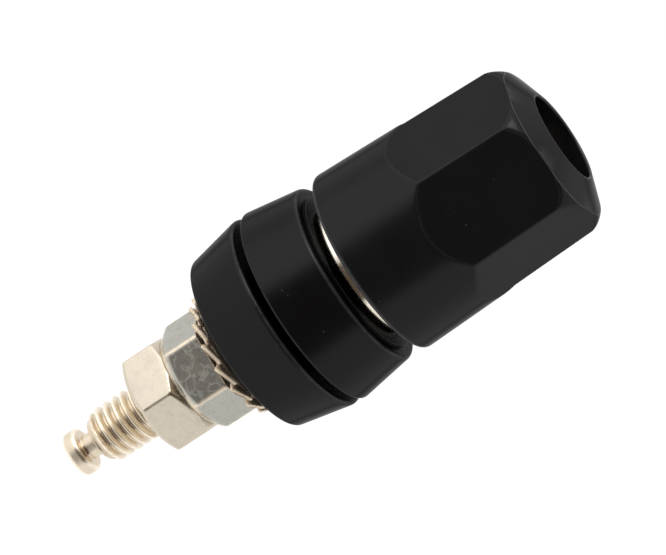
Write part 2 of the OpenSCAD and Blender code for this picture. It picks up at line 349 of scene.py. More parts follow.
def lathe(name, rows, angles, closed=True):
    """Carries rows of (r, z, edge) round the axis: x = r cos(a), y = r sin(a).

    A closed outline gives a ring. An open one starts and ends on the axis, in a point at each end.
    """
    r, z, edge = rows[:, 0], rows[:, 1], rows[:, 2]
    points = np.stack([r * np.cos(angles), r * np.sin(angles), z], axis=-1)
    count, columns = r.shape
    here = np.arange(columns)
    beside = np.roll(here, -1)
    if closed:
        start = np.arange(count)[:, None] * columns
        above = np.roll(start, -1, axis=0)
        quads = np.stack([start + here, start + beside, above + beside, above + here], axis=-1)
        return add_mesh(name, points, quads.reshape(-1, 4).tolist(), edge)
    start = np.arange(count - 3)[:, None] * columns
    above = start + columns
    quads = np.stack([start + here, start + beside, above + beside, above + here], axis=-1)
    top_ring = (count - 3) * columns
    bottom, top = (count - 2) * columns, (count - 2) * columns + 1
    low_fan = np.stack([np.full(columns, bottom), beside, here], axis=-1)
    high_fan = np.stack([top_ring + here, top_ring + beside, np.full(columns, top)], axis=-1)
    body = points[1:-1].reshape(-1, 3)
    points = np.concatenate([body, points[0, :1], points[-1, :1]])
    edge = np.concatenate([edge[1:-1].ravel(), edge[0, :1], edge[-1, :1]])
    faces = quads.reshape(-1, 4).tolist() + low_fan.tolist() + high_fan.tolist()
    return add_mesh(name, points, faces, edge)


def cut(piece, tool, operation):
    """Joins a tool to a piece or takes it away, and keeps the result as the piece's own mesh."""
    change = piece.modifiers.new(operation, "BOOLEAN")
    change.operation = operation
    change.solver = "MANIFOLD"
    change.object = tool
    seen = piece.evaluated_get(bpy.context.evaluated_depsgraph_get())
    mesh = bpy.data.meshes.new_from_object(seen)
    piece.modifiers.clear()
    piece.data = mesh
    bpy.data.objects.remove(tool)


# Pieces

def knob_radius(z):
    """Radius of the knob's drafted cone at a height."""
    return KNOB_R - (z - KNOB_LOW) * math.tan(KNOB_DRAFT)


def shoulder_points(foot, edge, count):
    """Points on the shoulder's arc of radius SHOULDER_R, between its foot and the bevel's edge."""
    chord = edge - foot
    away = np.array([chord[1], -chord[0]]) / np.linalg.norm(chord)
    centre = (foot + edge) / 2 - away * math.sqrt(SHOULDER_R**2 - (chord @ chord) / 4)
    start = math.atan2(*(foot - centre)[::-1])
    end = math.atan2(*(edge - centre)[::-1])
    a = np.linspace(start, end, count + 2)[1:-1]
    return centre + SHOULDER_R * np.stack([np.cos(a), np.sin(a)], axis=-1)


def knob():
    """Drafted cone with a rounded shoulder and a bevelled end, cut by six flats.

    The radius is the lesser of the turned section's and of the hexagon's, rounded where they meet.
    The hexagon's apothem is the flat's at each height, or the slanted run-out's where that is greater.
    Where the two radii meet, edge holds a thin rubbed line, painted pale as a highlight along that edge.
    """
    angles = hex_columns(KNOB_SIDE_COLUMNS)
    edge = np.array([BEVEL_R, MOUTH - BEVEL_H])
    foot_z = edge[1] - SHOULDER_H
    foot = np.array([knob_radius(foot_z), foot_z])
    ceiling = INSERT_TOP + CAVITY_PLAY
    ridge_mid = (WASHER_TOP + INSERT_TOP) / 2
    ridge_r = CAVITY_R - RIDGE_DEPTH
    corners = [(CAVITY_R, KNOB_LOW, EDGE_FINE), (KNOB_R, KNOB_LOW, KNOB_EDGE), (*foot, None)]
    corners += [(r, z, None) for r, z in shoulder_points(foot, edge, SHOULDER_STEPS)]
    corners += [
        (*edge, BEVEL_EDGE),
        (MOUTH_R, MOUTH, RIM_EDGE),
        (MOUTH_R, ceiling, EDGE_FINE),
        (CAVITY_R, ceiling, EDGE_FINE),
        (CAVITY_R, ridge_mid + RIDGE_W / 2, EDGE_FINE),
        (ridge_r, ridge_mid + RIDGE_W / 2, EDGE_FINE),
        (ridge_r, ridge_mid - RIDGE_W / 2, EDGE_FINE),
        (CAVITY_R, ridge_mid - RIDGE_W / 2, EDGE_FINE),
    ]
    rows = section(corners, len(angles))
    outside = rows[:, 0].min(axis=1) > CAVITY_R + CREASE
    fine = rows[:, 1].mean(axis=1) > edge[1] - BEVEL_EDGE
    rows = refine(rows, np.where(fine, BEVEL_STEP, KNOB_STEP), outside)
    z = rows[:, 1]
    hex_low = MOUTH - HEX_LEN
    flat = knob_radius(z) * math.cos(HALF_SIDE)
    ramp = knob_radius(hex_low) * math.cos(HALF_SIDE) + (hex_low - z) * math.tan(RUNOUT)
    apothem = -soft_min(-flat, -ramp, KNOB_BLEND)[0]
    outline = hexagon(angles, 1.0, HEX_FILLET_SHARE)[0]
    on_end = np.clip((z - foot_z) / (edge[1] - foot_z), 0, 1)
    blend = KNOB_BLEND + (BEVEL_BLEND - KNOB_BLEND) * on_end
    past = rows[:, 0] - apothem * outline
    # A thin pale line is painted where flat meets turned surface. It is rubbing and also a painted
    # highlight.
    rub_highlight_line = np.clip(1 - np.abs(past) / RUB_HIGHLIGHT_W, 0, 1) * np.where(z > edge[1], BEVEL_RUB_HIGHLIGHT, FLAT_RUB_HIGHLIGHT)
    rows[:, 2] = np.maximum(rows[:, 2] * (1 - np.clip(past / blend, 0, 1)), rub_highlight_line)
    rows[:, 0] = soft_min(rows[:, 0], apothem * outline, blend)[0]
    return lathe("clamp_knob_moulding", rows, angles)


def knob_insert():
    """Threaded bush: a grooved body, a neck through the pressure washer and a flared lip under it."""
    angles = round_columns(BUSH_COLUMNS)
    mid = (WASHER_TOP + INSERT_TOP) / 2
    groove_r = INSERT_R - RIDGE_DEPTH
    lip_top = INSERT_LOW + LIP_H
    rows = section([
        (INSERT_BORE, INSERT_LOW, EDGE_FINE),
        (LIP_R, INSERT_LOW, EDGE_FINE),
        (LIP_R, lip_top, EDGE_FINE),
        (NECK_R, lip_top, EDGE_FINE),
        (NECK_R, WASHER_TOP, EDGE_FINE),
        (INSERT_R, WASHER_TOP, EDGE_FINE),
        (INSERT_R, mid - GROOVE_W / 2, EDGE_FINE),
        (groove_r, mid - GROOVE_W / 2, EDGE_FINE),
        (groove_r, mid + GROOVE_W / 2, EDGE_FINE),
        (INSERT_R, mid + GROOVE_W / 2, EDGE_FINE),
        (INSERT_R, INSERT_TOP, EDGE_FINE),
        (INSERT_BORE, INSERT_TOP, EDGE_FINE),
    ], len(angles))
    return lathe("clamp_knob_bush", rows, angles)


def pressure_washer():
    """Flat ring with chamfered edges and a step under it for the bush's lip."""
    angles = round_columns(RING_COLUMNS)
    bore = NECK_R + SWIVEL_PLAY
    step_r = LIP_R + SWIVEL_PLAY
    step_z = INSERT_LOW + LIP_H + SWIVEL_PLAY
    rows = section([
        (step_r, COLLAR_TOP, EDGE_FINE),
        (WASHER_R, COLLAR_TOP, WASHER_FOOT),
        (WASHER_R, WASHER_TOP, WASHER_EDGE),
        (bore, WASHER_TOP, EDGE_FINE),
        (bore, step_z, EDGE_FINE),
        (step_r, step_z, EDGE_FINE),
    ], len(angles))
    return lathe("wire_pressure_ring", rows, angles)


def front_insulator():
    """Tapered ring with a raised land, a flatted seat for the collar and a spigot under it."""
    angles = round_columns(INSULATOR_COLUMNS)
    hole = TAIL_R + SEAT_PLAY
    rim_h = LAND - RIM_DROP
    rim_r = INSULATOR_R - rim_h * math.tan(FRONT_TAPER)
    seat = two_flats(angles, COLLAR_R + SEAT_PLAY, COLLAR_FLAT + SEAT_PLAY)
    floor_z = COLLAR_TOP - COLLAR_H
    rows = section([
        (hole, SPIGOT_END, EDGE_FINE),
        (SPIGOT_R, SPIGOT_END, FOOT_EDGE),
        (SPIGOT_R, 0, EDGE_FINE),
        (INSULATOR_R, 0, FOOT_EDGE),
        (rim_r, rim_h, FRONT_EDGE),
        (rim_r - RIM_W, rim_h, EDGE_FINE),
        (rim_r - RIM_W, LAND, LAND_EDGE),
        (seat, LAND, EDGE_FINE),
        (seat, floor_z, EDGE_FINE),
        (hole, floor_z, EDGE_FINE),
    ], len(angles))
    return lathe("front_insulator_ring", rows, angles)


def rear_insulator():
    """Tapered ring with a recess for the spigot and a raised seat behind it."""
    angles = round_columns(INSULATOR_COLUMNS)
    hole = TAIL_R + SEAT_PLAY
    recess = SPIGOT_R + SEAT_PLAY
    back = REAR_FRONT - REAR_H
    rows = section([
        (hole, SEAT_BACK, EDGE_FINE),
        (SEAT_R, SEAT_BACK, FOOT_EDGE),
        (SEAT_R, back, EDGE_FINE),
        (INSULATOR_R - REAR_H * math.tan(REAR_TAPER), back, REAR_EDGE),
        (INSULATOR_R, REAR_FRONT, REAR_EDGE),
        (recess, REAR_FRONT, EDGE_FINE),
        (recess, SPIGOT_END, EDGE_FINE),
        (hole, SPIGOT_END, EDGE_FINE),
    ], len(angles))
    return lathe("rear_insulator_ring", rows, angles)


def outer_rows(rows):
    """True for each row up to the highest one, on the outline's outer side."""
    return np.arange(len(rows)) <= np.argmax(rows[:, 1].max(axis=1))


def stud():
    """Turned stud: solder head, neck, threaded tail, collar with two flats and threaded post.

    The outline's radius gives way to the thread's where that is less. The wire hole is drilled through.
    On the tail's thread, edge is 1 at the crest and falls to 0 down the flank, for worn crests painted pale
    as a highlight; on the head it never falls below a floor that pales the whole head, a painted sheen.
    """
    angles = round_columns(STUD_COLUMNS)
    head_front = HEAD_BACK + HEAD_LEN
    tail_start = head_front + NECK_LEN
    collar = two_flats(angles, COLLAR_R, COLLAR_FLAT)
    collar_low = COLLAR_TOP - COLLAR_H
    floor_z = POST_END - SOCKET_DEPTH
    tip_z = floor_z + SOCKET_R / math.tan(DRILL_POINT / 2)
    rows = section([
        (0, HEAD_BACK, None),
        (HEAD_R, HEAD_BACK, HEAD_EDGE),
        (HEAD_R, head_front, HEAD_EDGE),
        (NECK_TAIL_R, head_front, NECK_EDGE),
        (NECK_TAIL_R, tail_start, NECK_EDGE),
        (TAIL_R - TAIL_LEAD_DEPTH, tail_start, NECK_EDGE),
        (TAIL_R, tail_start + TAIL_LEAD, EDGE_FINE),
        (TAIL_R, collar_low, EDGE_FINE),
        (collar, collar_low, EDGE_FINE),
        (collar, COLLAR_TOP, COLLAR_EDGE),
        (POST_R, COLLAR_TOP, EDGE_FINE),
        (POST_R, POST_END - POST_CHAMFER, EDGE_FINE),
        (POST_R - POST_CHAMFER, POST_END, EDGE_FINE),
        (SOCKET_R + SOCKET_LEAD, POST_END, EDGE_FINE),
        (SOCKET_R, POST_END - SOCKET_LEAD, EDGE_FINE),
        (SOCKET_R, tip_z, EDGE_FINE),
        (0, floor_z, None),
    ], len(angles), closed=False)
    z = rows[:, 1].mean(axis=1)
    on_tail = (z > tail_start - CREASE) & (z < collar_low)
    threaded = outer_rows(rows) & (on_tail | (z > COLLAR_TOP))
    rows = refine(rows, TAIL_PITCH / THREAD_ROWS, threaded, closed=False)
    z = rows[:, 1]
    outside = outer_rows(rows)[:, None]
    tail = thread(z, angles, TAIL_R, TAIL_PITCH)
    run_out = np.clip((z - SEAT_BACK) / TAIL_PITCH, 0, 1)
    tail = tail + (TAIL_R - tail) * run_out
    post = thread(z, angles, POST_R, POST_PITCH)
    post = np.where(z < COLLAR_TOP + RELIEF, POST_R - THREAD_DEPTH * POST_PITCH, post)
    is_tail = outside & (z > tail_start) & (z < collar_low - CREASE)
    is_post = outside & (z > COLLAR_TOP + CREASE)
    rows[:, 0] = np.where(is_tail, np.minimum(rows[:, 0], tail), rows[:, 0])
    rows[:, 0] = np.where(is_post, np.minimum(rows[:, 0], np.maximum(post, SOCKET_R)), rows[:, 0])
    # Crests take the plating's paler edge tone, as wear and as a painted highlight. The whole head is paled
    # as a painted sheen.
    crest = np.clip((rows[:, 0] - TAIL_R + CREST_SHEEN_FLANK) / CREST_SHEEN_FLANK, 0, 1)
    on_head = outside & (z < tail_start)
    turned = np.where(on_head, np.maximum(rows[:, 2], HEAD_SHEEN), rows[:, 2])
    rows[:, 2] = np.where(is_tail, crest, turned)
    piece = lathe("turned_stud", rows, angles, closed=False)
    cut(piece, wire_drill(), "DIFFERENCE")
    piece.data.set_sharp_from_angle(angle=DRILLED_EDGE)
    return piece


def wire_drill():
    """Rod along X through the post, the shape of the wire hole: a circle carried along the hole's axis."""
    angles = round_columns(DRILL_COLUMNS)
    x = np.array([-DRILL_REACH, DRILL_REACH])[:, None]
    y = WIRE_R * np.cos(angles)
    z = COLLAR_TOP + WIRE_RISE + WIRE_R + WIRE_R * np.sin(angles)
    points = np.stack(np.broadcast_arrays(x, y, z), axis=-1)
    here = np.arange(DRILL_COLUMNS)
    beside = np.roll(here, -1)
    far = here + DRILL_COLUMNS
    sides = np.stack([here, beside, beside + DRILL_COLUMNS, far], axis=-1).tolist()
    faces = sides + [here[::-1].tolist(), far.tolist()]
    return add_mesh("wire_drill", points, faces, np.zeros(2 * DRILL_COLUMNS))


def nut(name, node, turn, fillet, roll, crown_above):
    """Hexagon nut, crowned below and perhaps above, with a countersink at both ends of its bore.

    The side's radius at each height is the lesser of the hexagon's and of the crown cones', rounded
    over the width roll where they meet, so that a flat rolls off towards a crowned end. On the sides,
    edge rises to 1 at the hexagon's corners and where a crown begins, and the plating's paler edge tone
    paints highlight lines there.
    """
    angles = hex_columns(NUT_SIDE_COLUMNS) + turn + HALF_SIDE
    side, corner = hexagon(angles - turn - HALF_SIDE, NUT_APOTHEM, fillet)
    bottom, top = low(node), high(node)
    crown_r = NUT_APOTHEM - NUT_FACE_STEP
    z = np.linspace(bottom + 2 * NUT_EDGE, top - 2 * NUT_EDGE, NUT_ROWS)[:, None]
    from_face = np.minimum(z - bottom, top - z) if crown_above else z - bottom
    cone = crown_r + from_face / math.tan(NUT_CROWN)
    wall, near = soft_min(side + 0 * z, cone + 0 * side, roll)
    rows = section([
        (NUT_BORE, bottom + NUT_SINK, EDGE_FINE),
        (NUT_BORE + NUT_SINK, bottom, EDGE_FINE),
        (crown_r, bottom, NUT_EDGE),
        *[(wall[k], z[k, 0], None) for k in range(NUT_ROWS)],
        (crown_r if crown_above else side, top, NUT_EDGE),
        (NUT_BORE + NUT_SINK, top, EDGE_FINE),
        (NUT_BORE, top - NUT_SINK, EDGE_FINE),
    ], len(angles))
    on_wall = np.isin(rows[:, 1, 0], z[:, 0])
    # Corner and crown lines are painted in the paler edge tone as highlights.
    rows[on_wall, 2] = np.maximum(corner, near**2)
    return lathe(name, rows, angles)


def panel_nut():
    """Nut that clamps the insulators; its upper end is flat against the lock washer."""
    return nut("panel_nut", "inner_nut", INNER_TURN, INNER_FILLET, INNER_ROLL, crown_above=False)


def terminal_nut():
    """Nut for a ring terminal, crowned at both ends."""
    return nut("terminal_nut_hex", "outer_nut", OUTER_TURN, OUTER_FILLET, OUTER_ROLL, crown_above=True)


def tooth_strips(first):
    """Every second tooth of the lock washer: a rounded strip section, carried outwards and twisted.

    The section is a superellipse of power TOOTH_POWER; the twist grows with the square root of the way
    along the tooth, and edge grows to 1 at its tip, a painted highlight there, and stays a little above 0
    along the whole tooth, a faint painted sheen.
    """
    around = round_columns(TOOTH_COLUMNS)
    along = np.linspace(0, 1, TOOTH_ROWS)
    c, s = np.cos(around), np.sin(around)
    square = (np.abs(c) ** TOOTH_POWER + np.abs(s) ** TOOTH_POWER) ** (-1 / TOOTH_POWER)
    y = (TOOTH_W / 2) * c * square
    z = (TOOTH_T / 2) * s * square
    turn = TOOTH_TWIST * np.sqrt(np.clip((along - TWIST_START) / TWIST_LEN, 0, 1))[:, None]
    across = y * np.cos(turn) - z * np.sin(turn)
    rise = y * np.sin(turn) + z * np.cos(turn)
    start = LOCK_RING_R - LOCK_T
    out = np.broadcast_to((start + along * (LOCK_R - start))[:, None], across.shape)
    out = np.sqrt(np.maximum(out**2 - across**2, 0))
    heading = LOCK_TURN + round_columns(TEETH)[first::2, None, None]
    count = len(heading)
    points = np.stack([
        out * np.cos(heading) - across * np.sin(heading),
        out * np.sin(heading) + across * np.cos(heading),
        np.broadcast_to(LOCK_MID + rise, (count, *rise.shape)),
    ], axis=-1)
    here = np.arange(TOOTH_COLUMNS)
    beside = np.roll(here, -1)
    row = np.arange(TOOTH_ROWS - 1)[:, None] * TOOTH_COLUMNS
    further = row + TOOTH_COLUMNS
    sides = np.stack([row + here, row + beside, further + beside, further + here], axis=-1)
    each = np.arange(count)[:, None] * (TOOTH_COLUMNS * TOOTH_ROWS)
    sides = (sides.reshape(1, -1) + each).reshape(-1, 4).tolist()
    roots = (here[::-1] + each).tolist()
    tips = (here + TOOTH_COLUMNS * (TOOTH_ROWS - 1) + each).tolist()
    # The tips are painted pale as a highlight, and the rest of the tooth a little.
    worn_and_highlit = np.clip((along - TIP_SHEEN_START) / TIP_SHEEN_LEN, TOOTH_SHEEN_LEAST, 1)[:, None]
    return add_mesh("lock_teeth", points, sides + roots + tips, np.broadcast_to(worn_and_highlit, points.shape[:-1]))


def lock_washer():
    """External-tooth lock washer: a flat ring joined with its twisted teeth."""
    angles = round_columns(LOCK_COLUMNS)
    bottom, top = LOCK_MID - LOCK_T / 2, LOCK_MID + LOCK_T / 2
    rows = section([
        (LOCK_BORE, bottom, TOOTH_EDGE),
        (LOCK_RING_R, bottom, TOOTH_EDGE),
        (LOCK_RING_R, top, TOOTH_EDGE),
        (LOCK_BORE, top, TOOTH_EDGE),
    ], len(angles))
    piece = lathe("toothed_lock_washer", rows, angles)
    cut(piece, tooth_strips(0), "UNION")
    cut(piece, tooth_strips(1), "UNION")
    return piece


# Node groups shared by the materials

DUST_PATCHES = 700.0
DUSTY = 0.6
WEAR_HIGHLIGHT_BREAKS = (0.15, 0.5)


def new_group(name, inputs, outputs):
    """An empty node group with inputs (name, default) and named outputs, all of them single values."""
    group = bpy.data.node_groups.new(name, "ShaderNodeTree")
    for label, value in inputs:
        socket = group.interface.new_socket(label, in_out="INPUT", socket_type="NodeSocketFloat")
        socket.default_value = value
    for label in outputs:
        group.interface.new_socket(label, in_out="OUTPUT", socket_type="NodeSocketFloat")
    return group, group.nodes.new("NodeGroupInput"), group.nodes.new("NodeGroupOutput")


def add(tree, kind, settings=None, **values):
    """A node with its settings and with values or links on its named inputs."""
    node = tree.nodes.new(kind)
    for key, value in (settings or {}).items():
        setattr(node, key, value)
    for key, value in values.items():
        place(tree, node.inputs[key], value)
    return node


def place(tree, socket, value):
    """Links another node's output to a socket, or sets the socket's own value."""
    if isinstance(value, bpy.types.NodeSocket):
        tree.links.new(value, socket)
    else:
        socket.default_value = value


def math_node(tree, operation, *values, clamp=False):
    """A Math node's output."""
    node = tree.nodes.new("ShaderNodeMath")
    node.operation = operation
    node.use_clamp = clamp
    for socket, value in zip(node.inputs, values):
        place(tree, socket, value)
    return node.outputs[0]


def object_points(tree):
    """Object coordinates."""
    return tree.nodes.new("ShaderNodeTexCoord").outputs["Object"]


def noise(tree, scale, detail=4.0, rough=0.55):
    """A noise texture's value on object coordinates."""
    points = object_points(tree)
    node = add(tree, "ShaderNodeTexNoise", Vector=points, Scale=scale, Detail=detail, Roughness=rough)
    return node.outputs["Fac"]


def ramp_node(tree, value, low_end, high_end):
    """Maps a value from low_end..high_end to 0..1, and clamps it."""
    node = add(tree, "ShaderNodeMapRange", {"clamp": True}, Value=value)
    node.inputs["From Min"].default_value = low_end
    node.inputs["From Max"].default_value = high_end
    return node.outputs["Result"]


def grain_group():
    """Fine moulded grain: a height for bump and a slow tone, both from noise."""
    group, given, out = new_group("moulded_grain", [("Fine", 9000.0), ("Slow", 500.0)], ["Height", "Tone"])
    group.links.new(noise(group, given.outputs["Fine"], detail=3.0), out.inputs["Height"])
    group.links.new(noise(group, given.outputs["Slow"]), out.inputs["Tone"])
    return group


def dust_group():
    """Sparse specks of dust: the middles of Voronoi cells, kept only where a slower noise is high."""
    group, given, out = new_group("dust_specks", [("Scale", 1500.0), ("Size", 0.12)], ["Mask"])
    cells = add(group, "ShaderNodeTexVoronoi", Vector=object_points(group), Scale=given.outputs["Scale"])
    speck = math_node(group, "LESS_THAN", cells.outputs["Distance"], given.outputs["Size"])
    some = math_node(group, "GREATER_THAN", noise(group, DUST_PATCHES, detail=2.0), DUSTY)
    group.links.new(math_node(group, "MULTIPLY", speck, some), out.inputs["Mask"])
    return group


def wear_and_highlight_group():
    """Worn edges and painted edge highlights: a power of the mesh's edge attribute, broken up by noise."""
    inputs = [("Scale", 1800.0), ("Amount", 1.0), ("Sharp", 1.0)]
    group, given, out = new_group("edge_wear_and_highlight", inputs, ["Mask"])
    edge = add(group, "ShaderNodeAttribute", {"attribute_name": "edge"}).outputs["Fac"]
    # The mask paints both worn edges and highlight lines along edges.
    thin = math_node(group, "POWER", edge, given.outputs["Sharp"])
    broken = ramp_node(group, noise(group, given.outputs["Scale"]), *WEAR_HIGHLIGHT_BREAKS)
    mask = math_node(group, "MULTIPLY", thin, broken)
    worn_and_highlit = math_node(group, "MULTIPLY", mask, given.outputs["Amount"], clamp=True)
    group.links.new(worn_and_highlit, out.inputs["Mask"])
    return group


def lathe_marks_group():
    """Turning marks: noise stretched round the axis, read at (radius, height) alone."""
    group, given, out = new_group("lathe_marks", [("Scale", 9000.0)], ["Height"])
    split = add(group, "ShaderNodeSeparateXYZ", Vector=object_points(group))
    x, y, z = split.outputs
    squares = [math_node(group, "MULTIPLY", side, side) for side in (x, y)]
    radius = math_node(group, "SQRT", math_node(group, "ADD", *squares))
    joined = add(group, "ShaderNodeCombineXYZ", X=radius, Y=z)
    lines = add(group, "ShaderNodeTexNoise", Vector=joined.outputs[0], Scale=given.outputs["Scale"])
    group.links.new(lines.outputs["Fac"], out.inputs["Height"])
    return group


GRAIN = grain_group()
DUST = dust_group()
WEAR_AND_HIGHLIGHT = wear_and_highlight_group()
MARKS = lathe_marks_group()


# Materials

RUBBED_AND_HIGHLIGHT_GREY = (0.12, 0.118, 0.122, 1)
DUST_GREY = (0.35, 0.33, 0.3, 1)
DUST_SHARE = 0.04
DUST_ROUGH = 0.3
RUB_HIGHLIGHT_SHARP = 3.0
TONE_ROUGH = 0.1
PLASTIC_IOR = 1.46
GLOSS = 0.15
GLOSS_FRONT = 0.28
GLOSS_FALL = 0.4
GLOSS_LEAST = 0.01
GRAIN_BUMP = 0.06
GRAIN_DEPTH = 0.02 * MM
PLATE_WEAR_AND_HIGHLIGHT = 1.2
BLOTCH_SCALE = 1500.0
BLOTCH_RANGE = (0.45, 0.75)
BLOTCH_SHARE = 0.35
BLOTCH_ROUGH = 0.3
SCUFF_SCALE = 1300.0
SCUFF_W = 0.045
MARK_DEPTH = 0.01 * MM


def new_material(name):
    """A material with an empty Principled shader, and its node tree."""
    material = bpy.data.materials.new(name)
    material.use_nodes = True
    tree = material.node_tree
    return material, tree, tree.nodes["Principled BSDF"]


def use_group(tree, group, **values):
    """A node of a shared group with its own values."""
    node = tree.nodes.new("ShaderNodeGroup")
    node.node_tree = group
    for key, value in values.items():
        place(tree, node.inputs[key], value)
    return node.outputs


def mix_colour(tree, share, first, second):
    """Mixes two colours by a share."""
    node = tree.nodes.new("ShaderNodeMix")
    node.data_type = "RGBA"
    place(tree, node.inputs["Factor"], share)
    place(tree, node.inputs["A"], first)
    place(tree, node.inputs["B"], second)
    return node.outputs["Result"]


def bump(tree, shader, height, strength, distance):
    """Feeds a height to the shader's normal."""
    node = add(tree, "ShaderNodeBump", Height=height, Strength=strength, Distance=distance)
    tree.links.new(node.outputs["Normal"], shader.inputs["Normal"])


def black_moulding(name, rough, rub_and_highlight, tone_low, tone_high):
    """Satin black plastic: faint tone, moulded grain, rubbed edges painted pale as highlight lines, and a
    little dust.

    The grain takes the gloss away at a grazing angle, so the shader's specular level falls with Facing.
    """
    material, tree, shader = new_material(name)
    grain = use_group(tree, GRAIN)
    worn_and_highlit = use_group(tree, WEAR_AND_HIGHLIGHT, Amount=rub_and_highlight, Sharp=RUB_HIGHLIGHT_SHARP)["Mask"]
    dust = use_group(tree, DUST)["Mask"]
    tone = mix_colour(tree, grain["Tone"], tone_low, tone_high)
    # Rubbed edges are painted a paler grey. This is wear, and also a painted highlight along rims and
    # edges.
    rubbed_and_highlit = mix_colour(tree, worn_and_highlit, tone, RUBBED_AND_HIGHLIGHT_GREY)
    colour = mix_colour(tree, math_node(tree, "MULTIPLY", dust, DUST_SHARE), rubbed_and_highlit, DUST_GREY)
    tree.links.new(colour, shader.inputs["Base Color"])
    spread = math_node(tree, "MULTIPLY_ADD", grain["Tone"], TONE_ROUGH, rough - TONE_ROUGH / 2)
    tree.links.new(math_node(tree, "MULTIPLY_ADD", dust, DUST_ROUGH, spread), shader.inputs["Roughness"])
    shader.inputs["IOR"].default_value = PLASTIC_IOR
    # The socket's own value stands in where the link can't be read.
    shader.inputs["Specular IOR Level"].default_value = GLOSS
    facing_away = tree.nodes.new("ShaderNodeLayerWeight").outputs["Facing"]
    gloss = math_node(tree, "MULTIPLY_ADD", facing_away, -GLOSS_FALL, GLOSS_FRONT)
    tree.links.new(math_node(tree, "MAXIMUM", gloss, GLOSS_LEAST), shader.inputs["Specular IOR Level"])
    bump(tree, shader, grain["Height"], GRAIN_BUMP, GRAIN_DEPTH)
    return material


def plated_metal(name, bright, dull, edge, rough, marks, scuff):
    """Plated metal: an even plating with dull blotches, scuffs, turning marks and edges of a paler tone,
    which is wear and partly a painted highlight.

    A scuff is a thin line where a noise passes its middle value; it is rougher than the plating.
    """
    material, tree, shader = new_material(name)
    worn_and_highlit = use_group(tree, WEAR_AND_HIGHLIGHT, Amount=PLATE_WEAR_AND_HIGHLIGHT)["Mask"]
    height = use_group(tree, MARKS)["Height"]
    blotches = ramp_node(tree, noise(tree, BLOTCH_SCALE), *BLOTCH_RANGE)
    middle = math_node(tree, "SUBTRACT", noise(tree, SCUFF_SCALE, detail=2.0, rough=0.5), 0.5)
    off_middle = math_node(tree, "ABSOLUTE", middle)
    lines = math_node(tree, "SUBTRACT", 1.0, ramp_node(tree, off_middle, 0.0, SCUFF_W))
    plating = mix_colour(tree, math_node(tree, "MULTIPLY", blotches, BLOTCH_SHARE), bright, dull)
    # The paler edge tone is painted where the edge attribute is high. This is wear, and a painted highlight
    # on crests, corners and tips.
    tree.links.new(mix_colour(tree, worn_and_highlit, plating, edge), shader.inputs["Base Color"])
    shader.inputs["Metallic"].default_value = 1.0
    scuffed = math_node(tree, "MULTIPLY_ADD", blotches, BLOTCH_ROUGH, lines, clamp=True)
    rubbed_and_highlit = math_node(tree, "MAXIMUM", scuffed, worn_and_highlit)
    tree.links.new(math_node(tree, "MULTIPLY_ADD", rubbed_and_highlit, scuff, rough), shader.inputs["Roughness"])
    bump(tree, shader, height, marks, MARK_DEPTH)
    return material


def dress(piece, node, body, material):
    """Gives a piece its material and body, and puts it in the place of its CAD node."""
    piece.data.materials.clear()
    piece.data.materials.append(material)
    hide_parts(node)
    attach(piece, body)


KNOB_BLACK = black_moulding(
    "knob_black", rough=0.27, rub_and_highlight=0.6,
    tone_low=(0.0036, 0.0033, 0.0036, 1), tone_high=(0.0056, 0.0052, 0.0056, 1),
)
RING_BLACK = black_moulding(
    "insulator_black", rough=0.28, rub_and_highlight=0.2,
    tone_low=(0.0017, 0.0016, 0.0017, 1), tone_high=(0.0031, 0.003, 0.0031, 1),
)
# Each plating's edge colour is its worn tone and also the painted highlight on its crests, corners and
# tips.
NICKEL = plated_metal(
    "nickel_plate", bright=(0.72, 0.62, 0.48, 1), dull=(0.54, 0.44, 0.32, 1),
    edge=(1.0, 0.9, 0.75, 1), rough=0.26, marks=0.12, scuff=0.1,
)
PANEL_NUT_PLATE = plated_metal(
    "panel_nut_plate", bright=(0.43, 0.425, 0.38, 1), dull=(0.43, 0.37, 0.3, 1),
    edge=(0.9, 0.78, 0.62, 1), rough=0.27, marks=0.04, scuff=0.24,
)
TERMINAL_NUT_PLATE = plated_metal(
    "terminal_nut_plate", bright=(0.63, 0.565, 0.46, 1), dull=(0.5, 0.44, 0.36, 1),
    edge=(0.68, 0.6, 0.48, 1), rough=0.22, marks=0.04, scuff=0.1,
)
RING_NICKEL = plated_metal(
    "ring_plate", bright=(0.97, 0.9, 0.78, 1), dull=(0.8, 0.6, 0.4, 1),
    edge=(0.97, 0.9, 0.78, 1), rough=0.2, marks=0.01, scuff=0.03,
)
SPRING_STEEL = plated_metal(
    "spring_steel", bright=(0.74, 0.64, 0.54, 1), dull=(0.52, 0.44, 0.36, 1),
    edge=(1.0, 0.9, 0.75, 1), rough=0.75, marks=0.03, scuff=0.05,
)

dress(knob(), "knob", "clamp_knob", KNOB_BLACK)
dress(knob_insert(), "knob_insert", "clamp_knob", NICKEL)
dress(pressure_washer(), "pressure_washer", "clamp_ring", RING_NICKEL)
dress(front_insulator(), "front_insulator", "post", RING_BLACK)
dress(rear_insulator(), "rear_insulator", "post", RING_BLACK)
dress(stud(), "stud", "post", NICKEL)
dress(lock_washer(), "lock_washer", "post", SPRING_STEEL)
dress(panel_nut(), "inner_nut", "post", PANEL_NUT_PLATE)
dress(terminal_nut(), "outer_nut", "terminal_nut", TERMINAL_NUT_PLATE)


# Camera, at the photograph's viewing angle

IMAGE_W = 666
FOCAL_PX = 3648.2
CAMERA_FROM_X = math.radians(-6.25)
CAMERA_UP = math.radians(15.496)
CAMERA_ROLL = math.radians(56.726)
CAMERA_FAR = 243.17 * MM
AIM_SIDE = -0.547 * MM
AIM_HEIGHT = 2.69 * MM
CLIP = 100

TOWARDS = np.array([math.cos(CAMERA_FROM_X), math.sin(CAMERA_FROM_X), 0])
SIDE = np.array([-math.sin(CAMERA_FROM_X), math.cos(CAMERA_FROM_X), 0])
UP = np.array([0, 0, 1])


